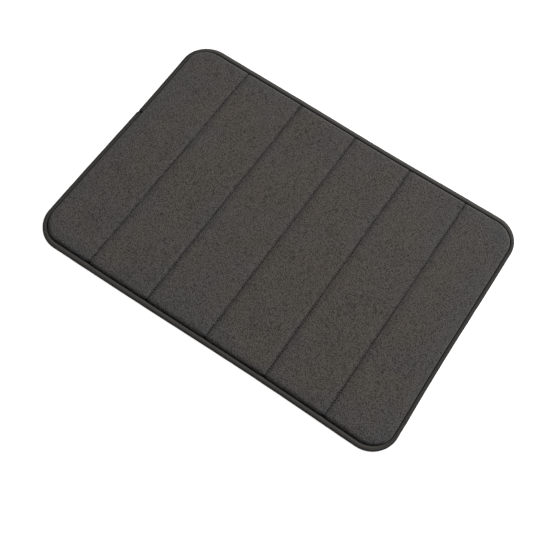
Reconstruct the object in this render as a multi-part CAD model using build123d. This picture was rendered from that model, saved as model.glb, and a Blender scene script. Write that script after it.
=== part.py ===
"""A quilted foam bath mat that lies flat.

X runs along the mat's length, Y across its width and Z up. The origin is on the floor at the middle of the mat.
"""

import os
from math import atan, cos, sin

from build123d import *

os.makedirs("parts", exist_ok=True)

# Overall size
LENGTH = 610.0
WIDTH = 432.0
THICKNESS = 13.0
CORNER_RADIUS = 43.5

# Layers, from the floor up
GRIP_FILM = 0.3
DOT_HEIGHT = 0.6
BACKING_THICKNESS = 0.8
COVER_THICKNESS = 1.5

# Dots moulded on the underside
DOT_DIAMETER = 4.0
DOT_PITCH = 16.0
DOT_COLUMNS = 6
DOT_EDGE_MARGIN = 13.0

# Folded binding tape round the edge
TAPE_THICKNESS = 0.9
TAPE_WIDTH = 7.5
TAPE_HEIGHT = 8.0
TAPE_ROUNDING = 3.5
TAPE_JOINT_Y = 47.5
TAPE_JOINT_GAP = 0.4

# Edge of the cover beside the tape
CREASE_GAP = 0.3
COVER_ROUNDING = 5.5
RIM_FOAM_TOP = 5.6
FILM_CLEARANCE = 0.3

# Quilting seams
PANELS = 6
SEAM_LEAN = 0.4
GROOVE_DEPTH = 3.0
GROOVE_HALF_WIDTH = 9.0
GROOVE_FLOOR = 1.2
GROOVE_RADIUS = 2.0

# Sewing thread
THREAD_WIDTH = 0.7
THREAD_HEIGHT = 0.5
LINK_HEIGHT = 0.2
STITCH_PITCH = 4.5
STITCH_LENGTH = 3.3
LEG_WIDTH = 0.8
THREAD_END_MARGIN = 11.5
BINDING_THREAD_INSET = 6.2
BOBBIN_SINK = 0.05

# Values that follow from the sizes above
PANEL_WIDTH = LENGTH / PANELS
SEAM_X = [(i + 1) * PANEL_WIDTH - LENGTH / 2 for i in range(PANELS - 1)]
FILM_BOTTOM = DOT_HEIGHT
BACKING_BOTTOM = DOT_HEIGHT + GRIP_FILM
FOAM_BOTTOM = BACKING_BOTTOM + BACKING_THICKNESS
FOAM_TOP = THICKNESS - COVER_THICKNESS
COVER_INSET = TAPE_WIDTH + CREASE_GAP
FOAM_INSET = COVER_INSET + COVER_THICKNESS
GROOVE_BOTTOM = THICKNESS - GROOVE_DEPTH
LOCK_Z = (GROOVE_BOTTOM + FILM_BOTTOM) / 2
OVER = 5.0


def slab(inset, bottom, top):
    """A flat slab with the mat's rounded outline, smaller by inset all round."""
    outline = RectangleRounded(
        LENGTH - 2 * inset, WIDTH - 2 * inset, CORNER_RADIUS - inset
    )
    return Pos(0, 0, bottom) * extrude(outline, top - bottom)


def domed_slab(inset, bottom, top, rounding):
    """A slab whose upper edge is rounded."""
    block = slab(inset, bottom, top)
    return fillet(block.edges().group_by(Axis.Z)[-1], rounding)


def pillow_slab(inset, bottom, top, rounding):
    """A slab whose upper and lower edges are both rounded."""
    block = slab(inset, bottom, top)
    levels = block.edges().group_by(Axis.Z)
    return fillet(levels[0] + levels[-1], rounding)


def ring(inset, width, bottom, top):
    """A band that follows the mat's outline."""
    return slab(inset, bottom, top) - slab(inset + width, bottom - OVER, top + OVER)


def groove(depth_below_cover):
    """The space above one seam, down to a surface that lies under the cover's by the given depth."""
    run = GROOVE_HALF_WIDTH - GROOVE_FLOOR / 2
    turn = 2 * atan(GROOVE_DEPTH / run)
    shoulder_radius = run / sin(turn) - GROOVE_RADIUS
    low_radius = GROOVE_RADIUS + depth_below_cover
    high_radius = shoulder_radius - depth_below_cover
    floor_z = GROOVE_BOTTOM - depth_below_cover
    top_z = THICKNESS - depth_below_cover
    half = GROOVE_FLOOR / 2

    def low(share):
        angle = share * turn
        return (half + low_radius * sin(angle), floor_z + low_radius * (1 - cos(angle)))

    def high(share):
        angle = share * turn
        return (
            GROOVE_HALF_WIDTH - high_radius * sin(angle),
            top_z - high_radius * (1 - cos(angle)),
        )

    def mirrored(point):
        return (-point[0], point[1])

    right = [
        Line((0, floor_z), low(0)),
        ThreePointArc(low(0), low(0.5), low(1)),
        ThreePointArc(low(1), high(0.5), high(0)),
        Line(high(0), (GROOVE_HALF_WIDTH, THICKNESS + OVER)),
        Line((GROOVE_HALF_WIDTH, THICKNESS + OVER), (0, THICKNESS + OVER)),
    ]
    left = [
        Line((0, floor_z), mirrored(low(0))),
        ThreePointArc(mirrored(low(0)), mirrored(low(0.5)), mirrored(low(1))),
        ThreePointArc(mirrored(low(1)), mirrored(high(0.5)), mirrored(high(0))),
        Line(mirrored(high(0)), (-GROOVE_HALF_WIDTH, THICKNESS + OVER)),
        Line((-GROOVE_HALF_WIDTH, THICKNESS + OVER), (0, THICKNESS + OVER)),
    ]
    face = make_face(Plane.XZ * Curve(right + left))
    return extrude(face, WIDTH / 2 + OVER, both=True)


def along_seam(x, shape):
    """Moves a shape made along Y at the middle of the mat to the seam at x."""
    return Pos(x, 0, 0) * Rot(0, 0, -SEAM_LEAN) * shape


def quilted(block, depth_below_cover):
    """Cuts every seam's groove into a block."""
    cutter = groove(depth_below_cover)
    for x in SEAM_X:
        block -= along_seam(x, cutter)
    return block


def stitched_thread(base_z, direction):
    """One seam's thread, along Y: stitches that stand off base_z in the given direction, and between them legs that pass into the mat and meet the other thread half way."""
    reach = WIDTH / 2 - THREAD_END_MARGIN
    count = int((2 * reach - STITCH_LENGTH) / STITCH_PITCH) + 1
    start = -((count - 1) * STITCH_PITCH + STITCH_LENGTH) / 2
    raised = base_z + direction * THREAD_HEIGHT
    linked = base_z + direction * LINK_HEIGHT
    outline = [(start, base_z)]
    for i in range(count):
        begin = start + i * STITCH_PITCH
        end = begin + STITCH_LENGTH
        if i:
            outline.append((begin, linked))
        outline += [(begin, raised), (end, raised)]
        if i < count - 1:
            outline.append((end, linked))
    outline.append((end, base_z))
    for i in reversed(range(count - 1)):
        middle = start + (i + 0.5) * STITCH_PITCH + STITCH_LENGTH / 2
        near = middle - LEG_WIDTH / 2
        far = middle + LEG_WIDTH / 2
        outline += [(far, base_z), (far, LOCK_Z), (near, LOCK_Z), (near, base_z)]
    face = make_face(Plane.YZ * Polyline(*outline, close=True))
    return extrude(face, THREAD_WIDTH / 2, both=True)


def dot_places():
    """Where the dots stand: staggered columns in each panel, clear of the seams and the edge."""
    inside = slab(DOT_EDGE_MARGIN, -OVER, OVER)
    places = []
    for panel in range(PANELS):
        middle = (panel + 0.5) * PANEL_WIDTH - LENGTH / 2
        for column in range(DOT_COLUMNS):
            x = middle + (column - (DOT_COLUMNS - 1) / 2) * DOT_PITCH
            shift = DOT_PITCH / 2 if column % 2 else 0.0
            rows = int(WIDTH / DOT_PITCH / 2) + 1
            for row in range(-rows, rows + 1):
                y = row * DOT_PITCH + shift
                if inside.is_inside((x, y, 0)):
                    places.append((x, y))
    return places


# Quilting threads, which lock together inside the foam and leave their holes in every layer
needle_thread = stitched_thread(GROOVE_BOTTOM, 1)
bobbin_thread = stitched_thread(FILM_BOTTOM, -1)
needle_threads = [along_seam(x, needle_thread) for x in SEAM_X]
bobbin_threads = [along_seam(x, bobbin_thread) for x in SEAM_X]

# The space inside the folded tape, which the layers' edges fill
tape_inside = pillow_slab(
    TAPE_THICKNESS,
    BACKING_BOTTOM,
    TAPE_HEIGHT - TAPE_THICKNESS,
    TAPE_ROUNDING - TAPE_THICKNESS,
)

# Foam slab with its thin rim inside the tape
foam_rim = slab(TAPE_THICKNESS, FOAM_BOTTOM, RIM_FOAM_TOP) & tape_inside
foam_body = domed_slab(
    FOAM_INSET, FOAM_BOTTOM, FOAM_TOP, COVER_ROUNDING - COVER_THICKNESS
)
foam_core = quilted(foam_rim + foam_body, COVER_THICKNESS)

# Cover over the foam, its edge also inside the tape
cover_rim = slab(TAPE_THICKNESS, FOAM_BOTTOM, THICKNESS) & tape_inside
cover_body = domed_slab(COVER_INSET, FOAM_BOTTOM, THICKNESS, COVER_ROUNDING)
top_cover = quilted(cover_rim + cover_body, 0.0) - foam_core - needle_threads
foam_core = foam_core - needle_threads - bobbin_threads

# Backing sheet
backing_fabric = slab(TAPE_THICKNESS, BACKING_BOTTOM, FOAM_BOTTOM) & tape_inside
backing_fabric = backing_fabric - bobbin_threads

# Non-slip film with its dots
grip_film = slab(TAPE_WIDTH + FILM_CLEARANCE, FILM_BOTTOM, BACKING_BOTTOM)
dot = extrude(Circle(DOT_DIAMETER / 2), DOT_HEIGHT)
grip_sheet = grip_film - bobbin_threads + [Pos(x, y, 0) * dot for x, y in dot_places()]

# Folded tape, open towards the mat, its ends butted on one short side
tape_outside = pillow_slab(0.0, 0.0, TAPE_HEIGHT, TAPE_ROUNDING)
bobbin_channel = ring(
    BINDING_THREAD_INSET - BOBBIN_SINK,
    THREAD_WIDTH + 2 * BOBBIN_SINK,
    -OVER,
    THREAD_HEIGHT + BOBBIN_SINK,
)
tape_joint = Pos(-LENGTH / 2, TAPE_JOINT_Y, TAPE_HEIGHT / 2) * Box(
    4 * TAPE_WIDTH, TAPE_JOINT_GAP, 2 * TAPE_HEIGHT
)
edge_binding = (
    tape_outside
    - tape_inside
    - slab(TAPE_WIDTH, -OVER, TAPE_HEIGHT + OVER)
    - bobbin_channel
    - tape_joint
)

nodes = {
    "foam_core": foam_core,
    "top_cover": top_cover,
    "backing_fabric": backing_fabric,
    "grip_sheet": grip_sheet,
    "edge_binding": edge_binding,
    "binding_needle_thread": ring(
        BINDING_THREAD_INSET,
        THREAD_WIDTH,
        TAPE_HEIGHT,
        TAPE_HEIGHT + THREAD_HEIGHT,
    ),
    "binding_bobbin_thread": ring(
        BINDING_THREAD_INSET,
        THREAD_WIDTH,
        BOBBIN_SINK,
        THREAD_HEIGHT + BOBBIN_SINK,
    ),
}
for number, (needle, bobbin) in enumerate(zip(needle_threads, bobbin_threads), 1):
    nodes[f"quilt_needle_thread_{number}"] = needle
    nodes[f"quilt_bobbin_thread_{number}"] = bobbin

for name, shape in nodes.items():
    shape.label = name
    export_step(shape, f"parts/{name}.step")
    print(name, len(shape.solids()), round(shape.volume))
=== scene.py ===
"""The look of a quilted memory-foam bath mat with a bound edge, lying flat on a pale floor.

X runs along the mat's length, Y across its width and Z up. Lengths are in metres.
"""

import math
import random

import bmesh
import bpy
from mathutils import Matrix, Vector, noise


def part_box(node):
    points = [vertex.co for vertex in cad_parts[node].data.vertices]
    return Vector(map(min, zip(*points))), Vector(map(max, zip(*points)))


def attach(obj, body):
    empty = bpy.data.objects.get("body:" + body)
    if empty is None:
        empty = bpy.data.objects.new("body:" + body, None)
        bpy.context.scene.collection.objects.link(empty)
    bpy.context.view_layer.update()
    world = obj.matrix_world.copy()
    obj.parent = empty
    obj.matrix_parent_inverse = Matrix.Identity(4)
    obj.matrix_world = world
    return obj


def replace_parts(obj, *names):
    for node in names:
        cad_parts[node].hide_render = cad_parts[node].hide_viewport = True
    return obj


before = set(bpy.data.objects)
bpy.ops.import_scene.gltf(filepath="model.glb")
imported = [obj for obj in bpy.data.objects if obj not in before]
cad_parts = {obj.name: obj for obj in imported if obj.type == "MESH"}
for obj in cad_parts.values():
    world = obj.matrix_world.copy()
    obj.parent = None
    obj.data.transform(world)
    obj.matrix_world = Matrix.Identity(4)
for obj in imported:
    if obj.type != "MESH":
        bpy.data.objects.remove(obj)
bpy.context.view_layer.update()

MM = 0.001
SEAMS = 5

# Sizes taken from the designed part
HALF_LENGTH, HALF_WIDTH, TAPE_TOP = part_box("edge_binding")[1]
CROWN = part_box("top_cover")[1].z
FILM_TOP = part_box("grip_sheet")[1].z
THREAD_WIDTH = 0.7 * MM
CORNER = 43.5 * MM

# The outline's straight runs, measured from the middle, and one corner's arc
STRAIGHT_X, STRAIGHT_Y = HALF_LENGTH - CORNER, HALF_WIDTH - CORNER
ARC = CORNER * math.pi / 2
OUTLINE = 4 * STRAIGHT_X + 4 * STRAIGHT_Y + 2 * math.pi * CORNER


def seam_lines():
    """(x at the middle, lean) of each seam, from its needle thread."""
    found = []
    for number in range(1, SEAMS + 1):
        low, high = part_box(f"quilt_needle_thread_{number}")
        lean = (high.x - low.x - THREAD_WIDTH) / (high.y - low.y)
        found.append(((low.x + high.x) / 2, lean))
    return found


SEAM_LINES = seam_lines()
SEAM_X = [x for x, _ in SEAM_LINES]
SEAM_LEAN = SEAM_LINES[0][1]
STITCH_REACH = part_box("quilt_needle_thread_1")[1].y

# Cover over the foam
CREASE_INSET = 8.0 * MM
SHOULDER_WIDTH = 6.8 * MM
SHOULDER_FULLNESS = 3.0
CREASE_Z = 3.0 * MM
COVER_TOP = CROWN - 0.7 * MM
GROOVE_DEPTH = 2.9 * MM
GROOVE_REACH_LEFT = 5.0 * MM
GROOVE_REACH_RIGHT = 10.5 * MM
FOLD_DEPTH = 0.9 * MM
FOLD_REACH = 0.8 * MM
STITCH_PITCH = 4.5 * MM
PINCH = 0.9 * MM
COVER_THICKNESS = 1.4 * MM
PUFF_LIMIT = 0.9 * MM
PUFF_FRAMES = 20
FOAM_RIM_TOP = 2.4 * MM

# How far in the crease lies on each side, beyond its plain place
CREASE_DRIFT = {"near": 0.1 * MM, "far": 3.3 * MM, "left": 0.3 * MM, "right": -1.1 * MM}

# How far each side springs out near its corners and draws in at its middle:
# place of the middle, offset there, rise away from it, and reach of the drawn-in part
SIDE_SLACK = {
    "near": (0.090, -0.5 * MM, 3.0 * MM, 0.170),
    "far": (0.060, 0.8 * MM, 1.7 * MM, 0.120),
    "left": (0.085, -0.1 * MM, 2.2 * MM, 0.160),
    "right": (-0.045, -0.2 * MM, 1.9 * MM, 0.125),
}


def slack(side, along):
    middle, drawn, rise, reach = SIDE_SLACK[side]
    return drawn + rise * (1 - math.exp(-(((along - middle) / reach) ** 2)))


def settled(point):
    """Where a point of the neat mat lies: leaning seams, drawn-in sides, slight wander."""
    x, y, z = point
    to_side = min(abs(x) / HALF_LENGTH, 1.2) ** 8
    to_end = min(abs(y) / HALF_WIDTH, 1.2) ** 8
    inner = max(0.0, 1 - to_side)
    out_x = slack("right" if x > 0 else "left", y) * to_side
    out_y = slack("far" if y > 0 else "near", x) * to_end
    drift = 0.6 * MM + 2.9 * MM * math.exp(-(((x - 0.03) / 0.19) ** 2))
    wander = 0.4 * MM * noise.noise(Vector((x * 9, y * 7, 0.3)))
    wander += 0.45 * MM * noise.noise(Vector((x * 5, y * 32, 4.1)))
    across = SEAM_LEAN * y + drift + wander
    return Vector(
        (
            x + math.copysign(1, x) * out_x + across * inner,
            y + math.copysign(1, y) * out_y,
            z,
        )
    )


def settle(bm):
    for vert in bm.verts:
        vert.co = settled(vert.co)


# ---------------------------------------------------------------- outline


def plan_distance(x, y):
    """Distance from the edge on the square-cornered plan."""
    return min(HALF_LENGTH - abs(x), HALF_WIDTH - abs(y))


def ring_point(x, y, shift=0.0):
    """Moves a point of the square-cornered plan onto the round-cornered one.

    It is then drawn in by shift. Its plain distance from the edge comes third.
    """
    distance = plan_distance(x, y)
    on_short_side = HALF_LENGTH - abs(x) <= HALF_WIDTH - abs(y)
    radius = CORNER - distance
    px, py = abs(x), abs(y)
    if radius <= 0:
        if on_short_side:
            px -= shift
        else:
            py -= shift
    elif on_short_side and py > STRAIGHT_Y:
        angle = (py - STRAIGHT_Y) / radius * math.pi / 4
        px = STRAIGHT_X + (radius - shift) * math.cos(angle)
        py = STRAIGHT_Y + (radius - shift) * math.sin(angle)
    elif not on_short_side and px > STRAIGHT_X:
        angle = (px - STRAIGHT_X) / radius * math.pi / 4
        px = STRAIGHT_X + (radius - shift) * math.sin(angle)
        py = STRAIGHT_Y + (radius - shift) * math.cos(angle)
    elif on_short_side:
        px -= shift
    else:
        py -= shift
    return math.copysign(px, x), math.copysign(py, y), distance


def short_side_share(x, y):
    """1 beside a short side, 0 beside a long one, and between the two round a corner."""
    dx = max(0.0, abs(x) - STRAIGHT_X)
    dy = max(0.0, abs(y) - STRAIGHT_Y)
    reach = math.hypot(dx, dy)
    return (dx / reach) ** 2 if reach > 0 else 0.0


def crease_drift(x, y):
    """How far in the crease has drifted at this place on the rim."""
    share = short_side_share(x, y)
    short = CREASE_DRIFT["right" if x > 0 else "left"]
    long = CREASE_DRIFT["far" if y > 0 else "near"]
    return share * short + (1 - share) * long


def rim_point(x, y):
    """The same near the rim, moved in with the crease."""
    px, py, distance = ring_point(x, y)
    fade = max(0.0, 1 - max(0.0, distance - CREASE_INSET) / (2 * CREASE_INSET)) ** 2
    fade *= min(1.0, distance / CREASE_INSET)
    near_side = y < 0 and HALF_WIDTH - abs(y) < HALF_LENGTH - abs(x)
    notch = 1.5 * MM * math.exp(-((seam_distance(x) / (4 * MM)) ** 2))
    shift = crease_drift(px, py) + (notch if near_side else 0.0)
    px, py, _ = ring_point(x, y, shift * fade)
    return px, py, distance


def along_outline(x, y):
    """Distance along the outline to the place nearest (x, y).

    It starts at the middle of the left side and runs towards the near side.
    """
    if abs(y) <= STRAIGHT_Y and abs(x) > STRAIGHT_X:
        if x < 0:
            total = -y
            return total if total >= 0 else total + OUTLINE
        return STRAIGHT_Y + ARC + 2 * STRAIGHT_X + ARC + (STRAIGHT_Y + y)
    if abs(x) <= STRAIGHT_X:
        if y < 0:
            return STRAIGHT_Y + ARC + (STRAIGHT_X + x)
        return 3 * STRAIGHT_Y + 3 * ARC + 2 * STRAIGHT_X + (STRAIGHT_X - x)
    cx, cy = math.copysign(STRAIGHT_X, x), math.copysign(STRAIGHT_Y, y)
    turn = math.atan2(y - cy, x - cx)
    if x < 0 and y < 0:
        return STRAIGHT_Y + CORNER * (turn + math.pi)
    if x > 0 and y < 0:
        return STRAIGHT_Y + ARC + 2 * STRAIGHT_X + CORNER * (turn + math.pi / 2)
    if x > 0:
        return 3 * STRAIGHT_Y + 2 * ARC + 2 * STRAIGHT_X + CORNER * turn
    return (
        3 * STRAIGHT_Y + 3 * ARC + 4 * STRAIGHT_X + CORNER * (turn - math.pi / 2)
    )


def inset_of(point):
    """Distance in from the mat's outline."""
    dx, dy = abs(point.x) - STRAIGHT_X, abs(point.y) - STRAIGHT_Y
    if dx > 0 and dy > 0:
        return CORNER - math.hypot(dx, dy)
    return min(HALF_LENGTH - abs(point.x), HALF_WIDTH - abs(point.y))


def outline_place(along, inset):
    """Point and outward direction at a distance along the outline."""
    s = (along + STRAIGHT_Y) % OUTLINE
    legs = [
        ((-1, 0), (-HALF_LENGTH, STRAIGHT_Y), (0, -1), 2 * STRAIGHT_Y),
        ((0, -1), (-STRAIGHT_X, -HALF_WIDTH), (1, 0), 2 * STRAIGHT_X),
        ((1, 0), (HALF_LENGTH, -STRAIGHT_Y), (0, 1), 2 * STRAIGHT_Y),
        ((0, 1), (STRAIGHT_X, HALF_WIDTH), (-1, 0), 2 * STRAIGHT_X),
    ]
    for normal, start, heading, length in legs:
        out, begin, way = Vector(normal), Vector(start), Vector(heading)
        if s <= length:
            return begin + way * s - out * inset, out
        s -= length
        if s <= ARC:
            centre = begin + way * length - out * CORNER
            turn = s / CORNER
            direction = out * math.cos(turn) + way * math.sin(turn)
            return centre + direction * (CORNER - inset), direction
        s -= ARC
    return outline_place(0, inset)


# ---------------------------------------------------------------- making pieces


def make_piece(name, bm, material, smooth=True):
    mesh = bpy.data.meshes.new(name)
    bm.to_mesh(mesh)
    bm.free()
    piece = bpy.data.objects.new(name, mesh)
    bpy.context.collection.objects.link(piece)
    mesh.materials.append(material)
    if smooth:
        mesh.shade_smooth()
    return piece


def apply_modifiers(piece):
    graph = bpy.context.evaluated_depsgraph_get()
    shaped = bpy.data.meshes.new_from_object(piece.evaluated_get(graph))
    old = piece.data
    piece.modifiers.clear()
    piece.data = shaped
    shaped.name = piece.name
    bpy.data.meshes.remove(old)


def thicken(piece, thickness):
    """Adds a wall inwards from the modelled face."""
    wall = piece.modifiers.new("thickness", "SOLIDIFY")
    wall.thickness = thickness
    wall.offset = -1.0
    wall.use_rim = True
    wall.use_even_offset = False


def repeat(template, places):
    """One bmesh with the template's shape at every matrix."""
    single = bpy.data.meshes.new("single")
    template.to_mesh(single)
    template.free()
    whole = bmesh.new()
    for place in places:
        done = len(whole.verts)
        whole.from_mesh(single)
        whole.verts.ensure_lookup_table()
        bmesh.ops.transform(whole, matrix=place, verts=whole.verts[done:])
    bpy.data.meshes.remove(single)
    return whole


def graded_grid(lines_x, lines_y):
    """A flat grid whose rows and columns lie on the given lines."""
    bm = bmesh.new()
    bmesh.ops.create_grid(
        bm, x_segments=len(lines_x) - 1, y_segments=len(lines_y) - 1, size=1.0
    )
    for vert in bm.verts:
        column = round((vert.co.x + 1) / 2 * (len(lines_x) - 1))
        row = round((vert.co.y + 1) / 2 * (len(lines_y) - 1))
        vert.co = (lines_x[column], lines_y[row], 0)
    return bm


# ---------------------------------------------------------------- quilted cover

# Where the meshes have lines, in mm: distances in from the edge, then from a seam
RIM_LINES = [4.6, 6.6, 7.6, 7.92, 8.05, 8.3, 8.7, 9.4, 10.4, 11.8, 13.6, 15.8]
FOAM_RIM_LINES = [1.6, 4.0, 6.5, 9.0, 9.6, 10.4, 11.6, 13.2, 15.5, 19, 25, 34, 43.5]
FOAM_SEAM_STEPS = [0, 1.2, 3.0, 5.5, 9.0, 15.0, 26.0, 40.0]
HALF_PITCH = STITCH_PITCH / 2
SEAM_STEPS = [0.6, 1.3, 2.2, 3.3, 4.7, 6.4, 8.4, 10.8, 14.0, 18.5, 24.5, 31.5, 39.0, 46.0]


def rim_lines():
    """Distances from the edge, from the crease in to where the corners end."""
    lines = [d * MM for d in RIM_LINES]
    steps = round((CORNER - lines[-1]) / HALF_PITCH)
    step = (CORNER - lines[-1]) / steps
    start = lines[-1]
    return lines + [start + step * i for i in range(1, steps + 1)]


def cover_lines_across():
    """Lines along Y: close together beside each seam."""
    rim = rim_lines()
    lines = {round(side * (HALF_LENGTH - d), 6) for d in rim for side in (-1, 1)}
    for x in SEAM_X:
        lines.add(round(x, 6))
        for step in SEAM_STEPS:
            for side in (-1, 1):
                place = x + side * step * MM
                if abs(place) < STRAIGHT_X - 2 * MM:
                    lines.add(round(place, 6))
    return sorted(lines)


def cover_lines_along():
    """Lines along X: two to each stitch."""
    rim = rim_lines()
    lines = [side * (HALF_WIDTH - d) for d in rim for side in (-1, 1)]
    steps = round(2 * STRAIGHT_Y / HALF_PITCH)
    lines += [-STRAIGHT_Y + 2 * STRAIGHT_Y * i / steps for i in range(1, steps)]
    return sorted(lines)


def beside_seam(x):
    """Signed distance from the nearest seam."""
    return min((x - seam for seam in SEAM_X), key=abs)


def seam_distance(x):
    return abs(beside_seam(x))


def groove(x):
    """How far a seam pulls the cover down, 0 to 1: more sharply on its left."""
    offset = beside_seam(x)
    share = abs(offset) / (GROOVE_REACH_RIGHT if offset > 0 else GROOVE_REACH_LEFT)
    if share >= 1:
        return 0.0
    return 1 - math.sqrt(1 - (1 - share) ** 2)


def needle_pinch(x, y):
    """The small dip at each needle hole, 0 to 1."""
    beside = math.exp(-((seam_distance(x) / (1.6 * MM)) ** 2))
    return beside * (0.5 + 0.5 * math.cos(2 * math.pi * y / STITCH_PITCH))


def cover_height(x, y, distance):
    """Height of the cover's upper face at a distance in from the edge."""
    share = min(max((distance - CREASE_INSET) / SHOULDER_WIDTH, 0.0), 1.0)
    rise = (1 - (1 - share) ** SHOULDER_FULLNESS) ** (1 / SHOULDER_FULLNESS)
    fold = FOLD_DEPTH * math.exp(-((seam_distance(x) / FOLD_REACH) ** 2))
    pulled = GROOVE_DEPTH * groove(x) + fold + PINCH * needle_pinch(x, y)
    return CREASE_Z + (COVER_TOP - pulled - CREASE_Z) * rise


def cover_point(x, y):
    """A point of the cover's upper face, from its place on the square-cornered plan."""
    px, py, distance = rim_point(x, y)
    z = cover_height(x, y, distance)
    if distance < CREASE_INSET:
        z -= 0.3 * (CREASE_INSET - distance)
    return Vector((px, py, z))


def puff(piece, pinned):
    """Blows the cover up between its seams, and limits how far each point goes."""
    start = [v.co.copy() for v in piece.data.vertices]
    group = piece.vertex_groups.new(name="sewn")
    group.add(pinned, 1.0, "REPLACE")
    cloth = piece.modifiers.new("cloth", "CLOTH")
    settings = cloth.settings
    settings.quality = 6
    settings.mass = 0.25
    settings.tension_stiffness = 12
    settings.compression_stiffness = 12
    settings.shear_stiffness = 6
    settings.bending_stiffness = 0.4
    settings.shrink_min = -0.012
    settings.vertex_group_mass = "sewn"
    settings.use_pressure = True
    settings.uniform_pressure_force = 4.0
    settings.effector_weights.gravity = 0.0
    cloth.collision_settings.use_self_collision = False
    cloth.collision_settings.use_collision = False
    scene = bpy.context.scene
    cloth.point_cache.frame_start = 1
    cloth.point_cache.frame_end = PUFF_FRAMES
    for step in range(1, PUFF_FRAMES + 1):
        scene.frame_set(step)
    apply_modifiers(piece)
    scene.frame_set(1)
    for vert, before in zip(piece.data.vertices, start):
        move = vert.co - before
        from_rim = max(0.0, inset_of(before) - CREASE_INSET) / (16 * MM)
        from_seam = seam_distance(before.x) / (8 * MM)
        allowed = PUFF_LIMIT * min(1.0, from_rim, from_seam)
        if move.length > allowed:
            vert.co = before + move * (allowed / move.length)
    piece.vertex_groups.clear()


def flat_nap_and_painted_shade(x, y, distance):
    """How flat the nap lies, with painted shade in it. Over 1.2 it is deep painted shade, as
    in a needle hole and in the crease at the rim.
    """
    offset = beside_seam(x)
    # The seam line: partly flattened nap, partly painted shade in the groove.
    seam = 0.62 * math.exp(-((offset / (1.0 * MM)) ** 2))
    if offset > 0:
        # Painted shade: a broad darker band on the seam's right, where the panel slopes away
        # from the light.
        seam += 0.16 * math.exp(-((offset / (6.5 * MM)) ** 2))
    # Painted shade: near black in the crease at the rim, less on the short sides.
    rim = 1.8 * math.exp(-((max(0.0, distance - CREASE_INSET) / (0.9 * MM)) ** 2))
    rim *= 1 - 0.55 * short_side_share(x, y)
    # Painted shade in the needle holes.
    return seam + 1.15 * needle_pinch(x, y) + rim


def quilted_cover(material):
    bm = graded_grid(cover_lines_across(), cover_lines_along())
    flat_nap_and_shade = bm.verts.layers.float.new("flat_nap_and_shade")
    painted_cool_shade = bm.verts.layers.float.new("painted_cool_shade")
    pinned = []
    bm.verts.index_update()
    for vert in bm.verts:
        x, y = vert.co.x, vert.co.y
        distance = plan_distance(x, y)
        if distance < CREASE_INSET + 0.2 * MM or seam_distance(x) < 0.3 * MM:
            pinned.append(vert.index)
        # Flattened nap with painted shade, for the material.
        vert[flat_nap_and_shade] = flat_nap_and_painted_shade(x, y, distance)
        # Painted cool shade: the tone is cooler towards the edge, beside the seams and
        # towards the left end, away from the key light.
        cool = math.exp(-max(0.0, distance - CREASE_INSET) / (28 * MM))
        cool += 0.45 * math.exp(-((beside_seam(x) / (10 * MM)) ** 2))
        vert[painted_cool_shade] = cool + 0.3 * max(0.0, -x / HALF_LENGTH - 0.5)
        vert.co = cover_point(x, y)
    bmesh.ops.recalc_face_normals(bm, faces=bm.faces)
    piece = make_piece("quilted_cover", bm, material)
    if piece.data.polygons[0].normal.z < 0:
        piece.data.flip_normals()
    puff(piece, pinned)
    for vert in piece.data.vertices:
        vert.co = settled(vert.co)
    thicken(piece, COVER_THICKNESS)
    piece.data.shade_smooth()
    return piece


# ---------------------------------------------------------------- foam, backing, grip


def foam_slab(material):
    """The foam core: it follows the cover from beneath, with a thin rim inside the tape."""
    rim = [d * MM for d in FOAM_RIM_LINES]

    def lines(half, inner):
        return sorted([side * (half - d) for d in rim for side in (-1, 1)] + inner)

    across = [
        x + side * step * MM
        for x in SEAM_X
        for step in FOAM_SEAM_STEPS
        for side in ((-1, 1) if step else (1,))
    ]
    rows = round(2 * STRAIGHT_Y / (10 * MM))
    step = 2 * STRAIGHT_Y / rows
    along = [-STRAIGHT_Y + step * i for i in range(1, rows)]
    bm = graded_grid(lines(HALF_LENGTH, across), lines(HALF_WIDTH, along))
    top = list(bm.faces)
    lower = bmesh.ops.extrude_face_region(bm, geom=top, use_keep_orig=True)["geom"]
    floor_z = FILM_TOP + 0.9 * MM
    low_verts = {v for v in lower if isinstance(v, bmesh.types.BMVert)}
    for vert in bm.verts:
        x, y = vert.co.x, vert.co.y
        px, py, distance = rim_point(x, y)
        z = cover_height(x, y + STITCH_PITCH / 2, distance - 2.4 * MM) - 2.0 * MM
        if distance < CREASE_INSET + 1.2 * MM:
            z = FOAM_RIM_TOP
        vert.co = (px, py, floor_z if vert in low_verts else max(z, FOAM_RIM_TOP))
    settle(bm)
    bmesh.ops.recalc_face_normals(bm, faces=bm.faces)
    return make_piece("foam_slab", bm, material)


def flat_sheet(name, inset, z, thickness, material):
    """A sheet of cloth with the mat's round-cornered outline."""
    rim = [inset + 6 * MM * i for i in range(int((CORNER - inset) / (6 * MM)) + 1)]
    rim.append(CORNER)

    def lines(half):
        count = round(2 * (half - CORNER) / (12 * MM))
        span = 2 * (half - CORNER)
        inner = [-(half - CORNER) + span * i / count for i in range(1, count)]
        return sorted([side * (half - d) for d in rim for side in (-1, 1)] + inner)

    bm = graded_grid(lines(HALF_LENGTH), lines(HALF_WIDTH))
    for vert in bm.verts:
        px, py, _ = ring_point(vert.co.x, vert.co.y)
        vert.co = (px, py, z)
    settle(bm)
    bmesh.ops.recalc_face_normals(bm, faces=bm.faces)
    if next(iter(bm.faces)).normal.z < 0:
        bmesh.ops.reverse_faces(bm, faces=bm.faces)
    piece = make_piece(name, bm, material)
    thicken(piece, thickness)
    return piece


DOT_PITCH = 16.0 * MM
DOT_COLUMNS = 6
DOT_MARGIN = 13 * MM
DOT_HEIGHT = 0.6 * MM
DOT_FOOT, DOT_ROOT = 1.45 * MM, 2.0 * MM


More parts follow.
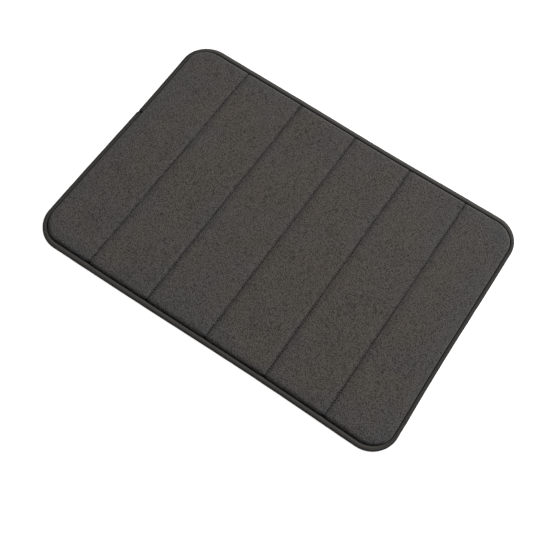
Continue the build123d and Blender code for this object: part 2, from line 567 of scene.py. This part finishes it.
def dot_template():
    bm = bmesh.new()
    bmesh.ops.create_cone(
        bm,
        cap_ends=True,
        segments=12,
        radius1=DOT_FOOT,
        radius2=DOT_ROOT,
        depth=DOT_HEIGHT,
    )
    low_rim = [e for e in bm.edges if all(v.co.z < 0 for v in e.verts)]
    bmesh.ops.bevel(
        bm,
        geom=low_rim,
        offset=0.35 * MM,
        offset_type="OFFSET",
        segments=2,
        profile=0.5,
        affect="EDGES",
        material=-1,
    )
    bmesh.ops.translate(bm, verts=bm.verts, vec=(0, 0, DOT_HEIGHT / 2))
    return bm


def dot_places():
    """Staggered columns of dots in every panel, clear of the seams and the edge."""
    panel = SEAM_X[1] - SEAM_X[0]
    rows = int(HALF_WIDTH / DOT_PITCH) + 1
    for number in range(SEAMS + 1):
        middle = (number + 0.5) * panel - HALF_LENGTH
        for column in range(DOT_COLUMNS):
            x = middle + (column - (DOT_COLUMNS - 1) / 2) * DOT_PITCH
            for row in range(-rows, rows + 1):
                y = row * DOT_PITCH + (DOT_PITCH / 2 if column % 2 else 0.0)
                in_corner = math.hypot(
                    max(0.0, abs(x) - STRAIGHT_X), max(0.0, abs(y) - STRAIGHT_Y)
                )
                clear = plan_distance(x, y) > DOT_MARGIN
                if clear and in_corner < CORNER - DOT_MARGIN:
                    yield Matrix.Translation(settled((x, y, 0.0)))


# ---------------------------------------------------------------- binding tape

# The folded tape's section as (distance in, height), in mm: from the crease, over the
# top and round the edge to the lower fold
TAPE_PROFILE = [
    (7.9, 2.5),
    (7.95, 4.3),
    (7.7, 6.0),
    (7.3, 7.1),
    (6.3, 7.8),
    (4.7, 8.0),
    (3.4, 7.85),
    (2.1, 7.3),
    (1.0, 6.3),
    (0.3, 4.9),
    (0.1, 3.3),
    (0.5, 1.8),
    (1.5, 0.7),
    (3.0, 0.1),
    (4.6, 0.0),
    (5.9, 0.0),
    (6.25, 0.4),
    (6.85, 0.4),
    (7.2, 0.0),
    (7.5, 0.1),
]
JOINT_Y = 45.2 * MM
JOINT_GAP = 0.5 * MM
TAPE_THICKNESS = 0.8 * MM
LONG_STEP, SHORT_STEP = 4 * MM, 0.8 * MM  # along the tape, and close to its ends


def bound_edge(material):
    """The folded tape, swept round the mat from one end to the other."""
    bm = bmesh.new()
    start_y = JOINT_Y - JOINT_GAP / 2
    verts = [
        bm.verts.new((-HALF_LENGTH + inset * MM, start_y, z * MM))
        for inset, z in TAPE_PROFILE
    ]
    last = verts + [bm.edges.new(pair) for pair in zip(verts, verts[1:])]
    end = 10 * MM
    legs = [
        (Vector((0, -end, 0)), SHORT_STEP, None),
        (Vector((0, end - start_y - STRAIGHT_Y, 0)), LONG_STEP, (-1, -1)),
        (Vector((2 * STRAIGHT_X, 0, 0)), LONG_STEP, (1, -1)),
        (Vector((0, 2 * STRAIGHT_Y, 0)), LONG_STEP, (1, 1)),
        (Vector((-2 * STRAIGHT_X, 0, 0)), LONG_STEP, (-1, 1)),
        (Vector((0, JOINT_Y + JOINT_GAP / 2 - STRAIGHT_Y + end, 0)), LONG_STEP, None),
        (Vector((0, -end, 0)), SHORT_STEP, None),
    ]
    for way, step, corner in legs:
        steps = max(2, round(way.length / step))
        last = bmesh.ops.spin(
            bm,
            geom=last,
            cent=(0, 0, 0),
            axis=(0, 0, 1),
            dvec=way / steps,
            angle=0,
            steps=steps,
        )["geom_last"]
        if corner:
            last = bmesh.ops.spin(
                bm,
                geom=last,
                cent=(corner[0] * STRAIGHT_X, corner[1] * STRAIGHT_Y, 0),
                axis=(0, 0, 1),
                angle=math.pi / 2,
                steps=20,
            )["geom_last"]
    unwrap_tape(bm)
    crease_and_joint_shade = bm.verts.layers.float.new("crease_and_joint_shade")
    short_side_shade = bm.verts.layers.float.new("short_side_shade")
    for vert in bm.verts:
        # Painted shade: the tape darkens towards the crease, less on the short sides, and at
        # the joint, where shade falls.
        dark_from = 6.4 * MM - 0.6 * max(0.0, crease_drift(vert.co.x, vert.co.y))
        to_crease = (inset_of(vert.co) - dark_from) / (1.3 * MM)
        joint = 2.0 * math.exp(-((from_joint(vert.co) / (2.0 * MM)) ** 2))
        short_side = short_side_share(vert.co.x, vert.co.y)
        to_crease = min(max(to_crease, 0.0), 1.0) * (1 - 0.45 * short_side)
        vert[crease_and_joint_shade] = min(to_crease + joint, 1.0)
        # Marks the short sides for their painted shade.
        vert[short_side_shade] = short_side
        loosen_tape(vert)
    settle(bm)
    bmesh.ops.recalc_face_normals(bm, faces=bm.faces)
    top = max(bm.faces, key=lambda f: f.calc_center_median().z)
    if top.normal.z < 0:
        bmesh.ops.reverse_faces(bm, faces=bm.faces)
    piece = make_piece("bound_edge", bm, material)
    thicken(piece, TAPE_THICKNESS)
    return piece


def unwrap_tape(bm):
    """Lays the tape out flat: U along it and V across it, in metres."""
    layer = bm.loops.layers.uv.new("along_tape")
    across = [0.0]
    for (a, b), (c, d) in zip(TAPE_PROFILE, TAPE_PROFILE[1:]):
        across.append(across[-1] + math.hypot(c - a, d - b) * MM)

    def profile_place(point):
        edge = inset_of(point)
        best = min(
            range(len(TAPE_PROFILE)),
            key=lambda i: math.hypot(
                TAPE_PROFILE[i][0] * MM - edge, TAPE_PROFILE[i][1] * MM - point.z
            ),
        )
        return across[best]

    for face in bm.faces:
        middle = face.calc_center_median()
        here = along_outline(middle.x, middle.y)
        for loop in face.loops:
            point = loop.vert.co
            along = along_outline(point.x, point.y)
            along += OUTLINE * round((here - along) / OUTLINE)
            loop[layer].uv = (along, profile_place(point))


def from_joint(point):
    """Distance along the tape from where its ends meet."""
    along = along_outline(point.x, point.y)
    return abs((along + JOINT_Y + OUTLINE / 2) % OUTLINE - OUTLINE / 2)


def loosen_tape(vert):
    """Small uneven fullness along the tape, with its ends folded in at the joint."""
    along = along_outline(vert.co.x, vert.co.y)
    inset = inset_of(vert.co)
    _, out = outline_place(along, 0)
    full = 0.22 * MM * noise.noise(Vector((along * 40, 0, 0)))
    full += 0.12 * MM * noise.noise(Vector((along * 150, 5, 0)))
    height = (vert.co.z / TAPE_TOP) ** 2
    tuck = 0.8 * MM * math.exp(-((from_joint(vert.co) / (1.5 * MM)) ** 2))
    outward = (full * (1 - inset / (8 * MM))) - tuck * (1 - inset / (4 * MM))
    outward -= crease_drift(vert.co.x, vert.co.y) * max(0.0, inset) / (7.5 * MM)
    if vert.co.x < 0 and vert.co.y > JOINT_Y:
        outward -= 0.6 * MM * math.exp(-(vert.co.y - JOINT_Y) / (90 * MM))
    vert.co.x += out.x * outward
    vert.co.y += out.y * outward
    vert.co.z += (full - 1.8 * tuck) * height


# ---------------------------------------------------------------- threads


def stitch_template(length, width, height):
    bm = bmesh.new()
    bmesh.ops.create_uvsphere(bm, u_segments=8, v_segments=6, radius=0.5)
    turn = Matrix.Rotation(math.pi / 2, 4, "X")
    bmesh.ops.transform(bm, matrix=turn, verts=bm.verts)
    for vert in bm.verts:
        vert.co.y = math.copysign(abs(2 * vert.co.y) ** 0.7 / 2, vert.co.y)
    bmesh.ops.scale(bm, vec=(width, length, height), verts=bm.verts)
    return bm


def seam_stitches(number, top, material):
    """One seam's visible stitches on the cover, or on the underside."""
    rng = random.Random(100 + number + (0 if top else 50))
    x = SEAM_X[number - 1]
    reach = HALF_WIDTH - CREASE_INSET if top else STITCH_REACH
    count = int(reach / STITCH_PITCH)
    places = []
    for i in range(-count, count):
        y = (i + 0.5) * STITCH_PITCH
        if top:
            before = settled(cover_point(x, y - STITCH_PITCH / 2))
            after = settled(cover_point(x, y + STITCH_PITCH / 2))
            lift = PINCH * 0.8 + 0.3 * MM
        else:
            before = settled((x, y - STITCH_PITCH / 2, 0.45 * MM))
            after = settled((x, y + STITCH_PITCH / 2, 0.45 * MM))
            lift = 0.0
        middle = (before + after) / 2 + Vector((0, 0, lift))
        way = (after - before).normalized()
        side = way.cross(Vector((0, 0, 1))).normalized()
        up = side.cross(way)
        turn = Matrix((side, way, up)).transposed().to_4x4()
        turn = turn @ Matrix.Rotation(math.radians(rng.uniform(-4, 4)), 4, "Z")
        size = Matrix.Diagonal((1, rng.uniform(0.93, 1.04), 1, 1))
        places.append(Matrix.Translation(middle) @ turn @ size)
    kind = "needle" if top else "bobbin"
    bm = repeat(stitch_template(3.5 * MM, 0.85 * MM, 0.6 * MM), places)
    piece = make_piece(f"seam_{kind}_stitches_{number}", bm, material)
    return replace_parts(piece, f"quilt_{kind}_thread_{number}")


def edge_stitches(top, material):
    """The stitches that hold the binding: in the crease above, on the lower fold beneath."""
    inset, z = (8.1 * MM, 3.0 * MM) if top else (6.55 * MM, 0.3 * MM)
    count = round(OUTLINE / STITCH_PITCH)
    places = []
    for i in range(count):
        along = (i + 0.5) * OUTLINE / count
        point, out = outline_place(along, inset)
        way = Vector((-out.y, out.x, 0))
        point -= out * crease_drift(point.x, point.y) * (1.0 if top else 0.87)
        turn = Matrix((Vector((out.x, out.y, 0)), way, Vector((0, 0, 1))))
        place = settled((point.x, point.y, z))
        places.append(Matrix.Translation(place) @ turn.transposed().to_4x4())
    kind = "needle" if top else "bobbin"
    bm = repeat(stitch_template(3.4 * MM, 0.6 * MM, 0.5 * MM), places)
    piece = make_piece(f"edge_{kind}_stitches", bm, material)
    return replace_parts(piece, f"binding_{kind}_thread")


# ---------------------------------------------------------------- materials


class Nodes:
    """Short ways to add and join nodes in one tree."""

    def __init__(self, tree):
        self.tree = tree

    def add(self, kind, **values):
        node = self.tree.nodes.new(kind)
        for name, value in values.items():
            setattr(node, name, value)
        return node

    def join(self, source, target):
        self.tree.links.new(source, target)

    def attribute(self, name):
        return self.add("ShaderNodeAttribute", attribute_name=name).outputs["Fac"]

    def math(self, operation, a, b=None):
        node = self.add("ShaderNodeMath", operation=operation)
        for socket, value in zip(node.inputs, (a, b)):
            if value is None:
                continue
            if isinstance(value, (int, float)):
                socket.default_value = value
            else:
                self.join(value, socket)
        return node.outputs[0]

    def noise(self, vector, scale, detail=2.0, roughness=0.5):
        node = self.add("ShaderNodeTexNoise")
        if isinstance(scale, float):
            node.inputs["Scale"].default_value = scale
        else:
            self.join(scale, node.inputs["Scale"])
        node.inputs["Detail"].default_value = detail
        node.inputs["Roughness"].default_value = roughness
        self.join(vector, node.inputs["Vector"])
        return node.outputs["Fac"]

    def spread(self, value, low, high, to_low=0.0, to_high=1.0):
        node = self.add("ShaderNodeMapRange")
        for name, number in (
            ("From Min", low),
            ("From Max", high),
            ("To Min", to_low),
            ("To Max", to_high),
        ):
            node.inputs[name].default_value = number
        self.join(value, node.inputs["Value"])
        return node.outputs["Result"]

    def blend(self, factor, a, b):
        node = self.add("ShaderNodeMix", data_type="RGBA")
        self.join(factor, node.inputs[0])
        for socket, value in ((node.inputs[6], a), (node.inputs[7], b)):
            if isinstance(value, tuple):
                socket.default_value = (*value, 1.0)
            else:
                self.join(value, socket)
        return node.outputs[2]


def new_group(name, inputs, outputs):
    group = bpy.data.node_groups.new(name, "ShaderNodeTree")
    for label, kind, value in inputs:
        socket = group.interface.new_socket(label, in_out="INPUT", socket_type=kind)
        if value is not None:
            socket.default_value = value
    for label, kind in outputs:
        group.interface.new_socket(label, in_out="OUTPUT", socket_type=kind)
    nodes = Nodes(group)
    return nodes, nodes.add("NodeGroupInput"), nodes.add("NodeGroupOutput")


def nap_group():
    """Short brushed fibre: fine grain, small tufts and broad brushed patches."""
    nodes, given, made = new_group(
        "Brushed nap",
        [
            ("Vector", "NodeSocketVector", None),
            ("Grain", "NodeSocketFloat", 1000.0),
            ("Tuft", "NodeSocketFloat", 560.0),
            ("Patch", "NodeSocketFloat", 14.0),
            ("Swirl", "NodeSocketFloat", 0.0018),
        ],
        [
            ("Tone", "NodeSocketFloat"),
            ("Patches", "NodeSocketFloat"),
            ("Height", "NodeSocketFloat"),
        ],
    )

    place = given.outputs["Vector"]
    grain = nodes.noise(place, given.outputs["Grain"], 3.0, 0.65)
    patch = nodes.noise(place, given.outputs["Patch"], 3.0, 0.6)

    # Tufts: rounded cells, bent about so that no two look alike
    bend = nodes.add("ShaderNodeTexNoise")
    bend.inputs["Scale"].default_value = 500.0
    nodes.join(place, bend.inputs["Vector"])
    bent = nodes.add("ShaderNodeVectorMath", operation="MULTIPLY_ADD")
    nodes.join(bend.outputs["Color"], bent.inputs[0])
    nodes.join(given.outputs["Swirl"], bent.inputs[1])
    nodes.join(place, bent.inputs[2])
    cells = nodes.add("ShaderNodeTexVoronoi")
    nodes.join(bent.outputs["Vector"], cells.inputs["Vector"])
    nodes.join(given.outputs["Tuft"], cells.inputs["Scale"])
    tuft = nodes.spread(cells.outputs["Distance"], 0.12, 0.8, 1.0, 0.0)
    tone = nodes.math(
        "ADD",
        nodes.math("MULTIPLY", tuft, 0.55),
        nodes.spread(grain, 0.37, 0.63, 0.0, 0.45),
    )
    height = nodes.math(
        "ADD", nodes.math("MULTIPLY", grain, 0.6), nodes.math("MULTIPLY", tuft, 0.5)
    )
    nodes.join(tone, made.inputs["Tone"])
    nodes.join(nodes.spread(patch, 0.3, 0.7), made.inputs["Patches"])
    nodes.join(height, made.inputs["Height"])
    return nodes.tree


def rib_group():
    """Fine raised ribs across a strip: U runs along the strip, in metres."""
    nodes, given, made = new_group(
        "Fine ribs",
        [("Vector", "NodeSocketVector", None), ("Pitch", "NodeSocketFloat", 0.0011)],
        [("Tone", "NodeSocketFloat"), ("Height", "NodeSocketFloat")],
    )
    split = nodes.add("ShaderNodeSeparateXYZ")
    nodes.join(given.outputs["Vector"], split.inputs[0])
    slant = nodes.math("MULTIPLY", split.outputs["Y"], 0.45)
    place = nodes.math("ADD", split.outputs["X"], slant)
    turns = nodes.math("DIVIDE", place, given.outputs["Pitch"])
    wave = nodes.math("SINE", nodes.math("MULTIPLY", turns, 2 * math.pi))
    rib = nodes.spread(wave, -1.0, 1.0)
    fuzz = nodes.noise(given.outputs["Vector"], 1400.0, 2.0, 0.6)
    height = nodes.math("ADD", rib, nodes.math("MULTIPLY", fuzz, 0.35))
    tone = nodes.math(
        "ADD",
        nodes.math("MULTIPLY", rib, 0.6),
        nodes.math("MULTIPLY", nodes.spread(fuzz, 0.3, 0.7), 0.4),
    )
    nodes.join(tone, made.inputs["Tone"])
    nodes.join(height, made.inputs["Height"])
    return nodes.tree


def start_material(name, **values):
    material = bpy.data.materials.new(name)
    material.use_nodes = True
    nodes = Nodes(material.node_tree)
    shader = material.node_tree.nodes["Principled BSDF"]
    for label, value in values.items():
        shader.inputs[label.replace("_", " ")].default_value = value
    return material, nodes, shader


def place_group(nodes, tree, vector, **values):
    node = nodes.add("ShaderNodeGroup", node_tree=tree)
    nodes.join(vector, node.inputs["Vector"])
    for label, value in values.items():
        node.inputs[label].default_value = value
    return node.outputs


def bump(nodes, shader, height, distance, strength=1.0):
    node = nodes.add("ShaderNodeBump")
    node.inputs["Strength"].default_value = strength
    node.inputs["Distance"].default_value = distance
    nodes.join(height, node.inputs["Height"])
    nodes.join(node.outputs["Normal"], shader.inputs["Normal"])


def object_place(nodes):
    return nodes.add("ShaderNodeTexCoord").outputs["Object"]


def marks_group():
    """Scattered short brush marks, where the nap has been pushed the other way."""
    nodes, given, made = new_group(
        "Brush marks",
        [("Vector", "NodeSocketVector", None), ("Size", "NodeSocketFloat", 260.0)],
        [("Marks", "NodeSocketFloat")],
    )
    stretch = nodes.add("ShaderNodeMapping")
    stretch.inputs["Rotation"].default_value = (0, 0, math.radians(35))
    stretch.inputs["Scale"].default_value = (1.0, 0.45, 1.0)
    nodes.join(given.outputs["Vector"], stretch.inputs["Vector"])
    node = nodes.add("ShaderNodeTexNoise")
    node.inputs["Detail"].default_value = 2.0
    nodes.join(stretch.outputs["Vector"], node.inputs["Vector"])
    nodes.join(given.outputs["Size"], node.inputs["Scale"])
    fleck = nodes.spread(node.outputs["Fac"], 0.54, 0.68)
    area = nodes.spread(nodes.noise(given.outputs["Vector"], 17.0, 2.0), 0.44, 0.62)
    nodes.join(nodes.math("MULTIPLY", fleck, area), made.inputs["Marks"])
    return nodes.tree


def velvet_fleece(nap, marks):
    material, nodes, shader = start_material(
        "Charcoal velvet fleece",
        Roughness=0.95,
        Sheen_Weight=0.08,
        Sheen_Roughness=0.4,
        Sheen_Tint=(1.0, 0.96, 0.92, 1.0),
        Specular_IOR_Level=0.1,
    )
    place = object_place(nodes)
    surface = place_group(nodes, nap, place)
    tone = surface["Tone"]
    warm = nodes.blend(tone, (0.0080, 0.0070, 0.0058), (0.0998, 0.0868, 0.0742))
    cool = nodes.blend(tone, (0.0072, 0.0071, 0.0071), (0.0875, 0.0866, 0.0873))
    # Painted cool shade: cooler tone by the edge, the seams and the left end.
    painted_cool_shade = nodes.attribute("painted_cool_shade")
    cooling = nodes.math("MULTIPLY", painted_cool_shade, 0.75)
    warmth = nodes.math("SUBTRACT", surface["Patches"], cooling)
    colour = nodes.blend(nodes.spread(warmth, -0.5, 0.75), cool, warm)

    # Flattened nap is darker, unevenly so; brush marks are darker too. The same mask paints
    # shade into the seam grooves, the needle holes and the crease at the rim
    flat_nap_and_shade = nodes.attribute("flat_nap_and_shade")
    uneven = nodes.spread(nodes.noise(place, 150.0, 3.0, 0.6), 0.40, 0.56, 0.3, 1.0)
    flat = nodes.math("MULTIPLY", nodes.math("MULTIPLY", flat_nap_and_shade, uneven), 0.75)
    # Painted shade: near black where the mask is over 1.2.
    flat = nodes.math("MAXIMUM", flat, nodes.spread(flat_nap_and_shade, 1.2, 1.7, 0.0, 0.97))
    marked = place_group(nodes, marks, place)["Marks"]
    darker = nodes.math("MAXIMUM", flat, nodes.math("MULTIPLY", marked, 0.3))
    darker = nodes.math("MINIMUM", darker, 1.0)
    colour = nodes.blend(darker, colour, (0.003, 0.003, 0.0033))

    # Painted sheen: the colour is lightened where the nap is seen from the side, as fibre
    # ends catch the light there; less where the nap lies flat or in painted shade
    facing = nodes.add("ShaderNodeLayerWeight").outputs["Facing"]
    painted_sheen = nodes.spread(facing, 0.35, 0.95, 0.0, 0.75)
    raised = nodes.math("SUBTRACT", 1.0, nodes.math("MINIMUM", flat_nap_and_shade, 1.0))
    painted_sheen = nodes.math("MULTIPLY", painted_sheen, raised)
    colour = nodes.blend(painted_sheen, colour, (0.115, 0.108, 0.100))
    nodes.join(colour, shader.inputs["Base Color"])
    bump(nodes, shader, surface["Height"], 1.0 * MM, 0.9)
    return material


def binding_cloth(ribs):
    material, nodes, shader = start_material(
        "Ribbed binding tape",
        Roughness=0.8,
        Sheen_Weight=0.03,
        Sheen_Roughness=0.4,
        Specular_IOR_Level=0.15,
    )
    place = nodes.add("ShaderNodeUVMap", uv_map="along_tape").outputs["UV"]
    surface = place_group(nodes, ribs, place, Pitch=1.2 * MM)
    tone = surface["Tone"]
    colour = nodes.blend(tone, (0.0200, 0.0182, 0.0170), (0.0655, 0.0608, 0.0562))

    # Painted shade: the tape is darker on the short sides, which lie across the light, and
    # near black towards the crease and at the joint, where shade falls
    across = nodes.math("MULTIPLY", nodes.attribute("short_side_shade"), 0.57)
    colour = nodes.blend(across, colour, (0.009, 0.0085, 0.008))
    crease_and_joint_shade = nodes.math("MULTIPLY", nodes.attribute("crease_and_joint_shade"), 0.95)
    colour = nodes.blend(crease_and_joint_shade, colour, (0.0012, 0.0012, 0.0012))
    nodes.join(colour, shader.inputs["Base Color"])
    bump(nodes, shader, surface["Height"], 0.25 * MM, 0.8)
    return material


def nap_material(nap, name, dark, light, grain, tuft, height, **finish):
    """A plain material of two tones of the nap, with a fine bump."""
    material, nodes, shader = start_material(name, **finish)
    surface = place_group(nodes, nap, object_place(nodes), Grain=grain, Tuft=tuft)
    nodes.join(nodes.blend(surface["Tone"], dark, light), shader.inputs["Base Color"])
    bump(nodes, shader, surface["Height"], height)
    return material


def sewing_thread(nap, name, dark, light):
    finish = {"Roughness": 0.6, "Specular_IOR_Level": 0.3}
    return nap_material(nap, name, dark, light, 2200.0, 900.0, 0.12 * MM, **finish)


def memory_foam(nap):
    dark, light = (0.55, 0.5, 0.38), (0.78, 0.74, 0.62)
    finish = {"Roughness": 0.9, "Specular_IOR_Level": 0.2}
    return nap_material(nap, "Memory foam", dark, light, 1500.0, 500.0, 0.4 * MM, **finish)


def grip_rubber(nap, name, dark, light):
    finish = {"Roughness": 0.55, "Specular_IOR_Level": 0.4}
    return nap_material(nap, name, dark, light, 1200.0, 350.0, 0.12 * MM, **finish)


def woven_cloth(name, dark, light, thread_mm, **finish):
    material, nodes, shader = start_material(name, **finish)
    split = nodes.add("ShaderNodeSeparateXYZ")
    nodes.join(object_place(nodes), split.inputs[0])

    def strands(axis):
        turns = nodes.math("DIVIDE", split.outputs[axis], thread_mm * MM)
        return nodes.spread(
            nodes.math("SINE", nodes.math("MULTIPLY", turns, 2 * math.pi)), -1.0, 1.0
        )

    weave = nodes.math("MULTIPLY", strands("X"), strands("Y"))
    fuzz = nodes.noise(object_place(nodes), 900.0)
    tone = nodes.math("ADD", weave, nodes.math("MULTIPLY", fuzz, 0.5))
    colour = nodes.blend(nodes.spread(tone, 0.0, 1.3), dark, light)
    nodes.join(colour, shader.inputs["Base Color"])
    bump(nodes, shader, tone, 0.15 * MM)
    return material


def pale_floor():
    """A lit white table: it looks evenly white, and throws little light back up."""
    material, nodes, shader = start_material(
        "Pale floor", Roughness=0.9, Specular_IOR_Level=0.1
    )
    shade = nodes.noise(object_place(nodes), 4.0)
    colour = nodes.blend(shade, (0.37, 0.37, 0.37), (0.39, 0.39, 0.39))
    nodes.join(colour, shader.inputs["Base Color"])
    shader.inputs["Emission Color"].default_value = (1.0, 1.0, 1.0, 1.0)
    seen = nodes.add("ShaderNodeLightPath").outputs["Is Camera Ray"]
    nodes.join(nodes.math("MULTIPLY", seen, 0.86), shader.inputs["Emission Strength"])
    return material


# ---------------------------------------------------------------- studio


def area_light(name, place, size, power):
    """A round soft light that points at the mat's middle."""
    light = bpy.data.lights.new(name, "AREA")
    light.shape = "DISK"
    light.size = size
    light.energy = power
    lamp = bpy.data.objects.new(name, light)
    bpy.context.collection.objects.link(lamp)
    lamp.location = place
    lamp.rotation_euler = (-Vector(place)).to_track_quat("-Z", "Y").to_euler()
    return lamp


def studio():
    scene = bpy.context.scene
    scene.view_settings.view_transform = "Standard"
    scene.view_settings.look = "None"
    world = bpy.data.worlds.new("Soft white room")
    world.use_nodes = True
    nodes = Nodes(world.node_tree)
    background = world.node_tree.nodes["Background"]
    background.inputs["Color"].default_value = (1.0, 1.0, 1.0, 1.0)
    seen = nodes.add("ShaderNodeLightPath").outputs["Is Camera Ray"]
    nodes.join(nodes.spread(seen, 0.0, 1.0, 0.42, 1.1), background.inputs["Strength"])
    scene.world = world
    bm = bmesh.new()
    bmesh.ops.create_grid(bm, x_segments=4, y_segments=4, size=6.0)
    bmesh.ops.translate(bm, verts=bm.verts, vec=(0, 0, -0.0002))
    mesh = bpy.data.meshes.new("floor")
    bm.to_mesh(mesh)
    bm.free()
    floor = bpy.data.objects.new("floor", mesh)
    bpy.context.collection.objects.link(floor)
    mesh.materials.append(pale_floor())
    key = area_light("key", (1.9, 3.2, 3.0), 2.0, 360)
    fill = area_light("fill", (-1.2, -1.0, 2.2), 2.0, 8)


def camera():
    data = bpy.data.cameras.new("camera")
    data.lens = 62.0
    data.sensor_width = 36.0
    data.clip_start, data.clip_end = 0.05, 50.0
    eye = bpy.data.objects.new("camera", data)
    bpy.context.collection.objects.link(eye)
    eye.location = (0.24805, -0.58039, 1.26702)
    eye.rotation_euler = tuple(math.radians(a) for a in (23.773, -4.250, 33.433))
    bpy.context.scene.camera = eye


# ---------------------------------------------------------------- the mat

nap = nap_group()
ribs = rib_group()
thread_finish = sewing_thread(
    nap, "Seam thread", (0.034, 0.031, 0.029), (0.088, 0.081, 0.075)
)
# Painted shade: the binding thread is near black, as dark as the shaded crease where it
# shows.
shade_dark_edge_thread_finish = sewing_thread(
    nap, "Binding thread", (0.006, 0.006, 0.006), (0.018, 0.017, 0.016)
)
backing_finish = woven_cloth(
    "Backing cloth",
    (0.035, 0.035, 0.037),
    (0.09, 0.09, 0.095),
    0.9,
    Roughness=0.85,
    Specular_IOR_Level=0.2,
)
film_finish = grip_rubber(nap, "Grip film", (0.055, 0.055, 0.058), (0.10, 0.10, 0.105))
dot_finish = grip_rubber(nap, "Grip dots", (0.13, 0.13, 0.135), (0.19, 0.19, 0.195))

foam = foam_slab(memory_foam(nap))
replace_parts(foam, "foam_core")

cover = quilted_cover(velvet_fleece(nap, marks_group()))
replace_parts(cover, "top_cover")

backing = flat_sheet(
    "backing_cloth", 1.5 * MM, FILM_TOP + 0.75 * MM, 0.7 * MM, backing_finish
)
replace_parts(backing, "backing_fabric")

grip = flat_sheet("grip_film", 7.8 * MM, FILM_TOP, 0.3 * MM, film_finish)
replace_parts(grip, "grip_sheet")
dots = make_piece(
    "grip_dots",
    repeat(dot_template(), list(dot_places())),
    dot_finish,
    smooth=False,
)
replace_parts(dots, "grip_sheet")

binding = bound_edge(binding_cloth(ribs))
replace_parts(binding, "edge_binding")

threads = [edge_stitches(top, shade_dark_edge_thread_finish) for top in (True, False)]
for number in range(1, SEAMS + 1):
    threads.append(seam_stitches(number, True, thread_finish))
    threads.append(seam_stitches(number, False, thread_finish))

[t for t in threads if "seam_needle" in t.name]
for piece in [foam, cover, backing, grip, dots, binding, *threads]:
    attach(piece, "root")

studio()
camera()
